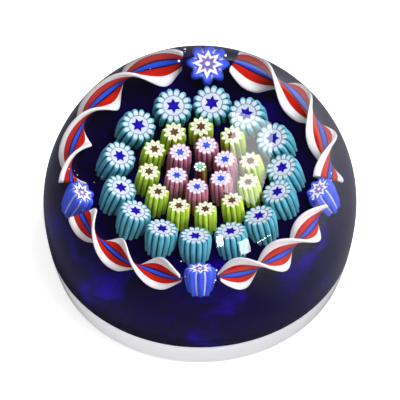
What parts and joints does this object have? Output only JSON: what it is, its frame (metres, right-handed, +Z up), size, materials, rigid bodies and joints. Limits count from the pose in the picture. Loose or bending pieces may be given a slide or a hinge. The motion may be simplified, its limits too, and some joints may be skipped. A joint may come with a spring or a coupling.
{
  "type": "paperweight",
  "caption": "Domed solid glass desk paperweight: ringed canes, florets and twisted ribbons set on a cobalt ground under a clear magnifying dome.",
  "frame": {"origin": "centre of the foot, on the surface the weight rests on", "axes": "+Z up through the middle of the dome; -Y towards the front of the weight, +X to its right"},
  "size_m": [0.075, 0.075, 0.0535],
  "materials": {
    "clear_crystal": "clear polished crystal",
    "cobalt_glass": "deep translucent cobalt glass",
    "centre_threads_glass": "bundle of coloured opaque glass threads",
    "rose_glass": "rose ribbed opaque glass",
    "lime_glass": "lime ribbed opaque glass",
    "turquoise_glass": "turquoise ribbed opaque glass",
    "blue_glass": "royal blue opaque glass",
    "navy_glass": "navy opaque glass",
    "brown_glass": "brown opaque glass",
    "purple_glass": "lilac opaque glass",
    "white_glass": "white enamel glass",
    "ribbon_glass": "flat ribbon of white, red, black and blue glass"
  },
  "bodies": {
    "root": {"clear_dome": "clear_crystal", "cobalt_ground": "cobalt_glass", "clear_base": "clear_crystal", "centre_cane": "centre_threads_glass", "pink_cane_1": "rose_glass", "pink_cane_2": "rose_glass", "pink_cane_3": "rose_glass", "pink_cane_4": "rose_glass", "pink_cane_5": "rose_glass", "pink_cane_6": "rose_glass", "green_cane_1": "lime_glass", "green_cane_2": "lime_glass", "green_cane_3": "lime_glass", "green_cane_4": "lime_glass", "green_cane_5": "lime_glass", "green_cane_6": "lime_glass", "green_cane_7": "lime_glass", "green_cane_8": "lime_glass", "green_cane_9": "lime_glass", "green_cane_10": "lime_glass", "green_cane_11": "lime_glass", "turquoise_cane_1": "turquoise_glass", "turquoise_cane_2": "turquoise_glass", "turquoise_cane_3": "turquoise_glass", "turquoise_cane_4": "turquoise_glass", "turquoise_cane_5": "turquoise_glass", "turquoise_cane_6": "turquoise_glass", "turquoise_cane_7": "turquoise_glass", "turquoise_cane_8": "turquoise_glass", "turquoise_cane_9": "turquoise_glass", "turquoise_cane_10": "turquoise_glass", "turquoise_cane_11": "turquoise_glass", "turquoise_cane_12": "turquoise_glass", "turquoise_cane_13": "turquoise_glass", "turquoise_cane_14": "turquoise_glass", "blue_floret_1": "blue_glass", "blue_floret_2": "blue_glass", "blue_floret_3": "blue_glass", "blue_floret_4": "blue_glass", "pink_collars": "white_glass", "pink_stars": "blue_glass", "green_collars": "white_glass", "green_stars": "brown_glass", "turquoise_collars": "white_glass", "turquoise_stars": "navy_glass", "floret_cores": "purple_glass", "floret_stars": "white_glass", "ribbon_rod_1": "clear_crystal", "ribbon_rod_2": "clear_crystal", "ribbon_rod_3": "clear_crystal", "ribbon_rod_4": "clear_crystal", "ribbon_twist_1": "ribbon_glass", "ribbon_twist_2": "ribbon_glass", "ribbon_twist_3": "ribbon_glass", "ribbon_twist_4": "ribbon_glass"}
  },
  "joints": []
}
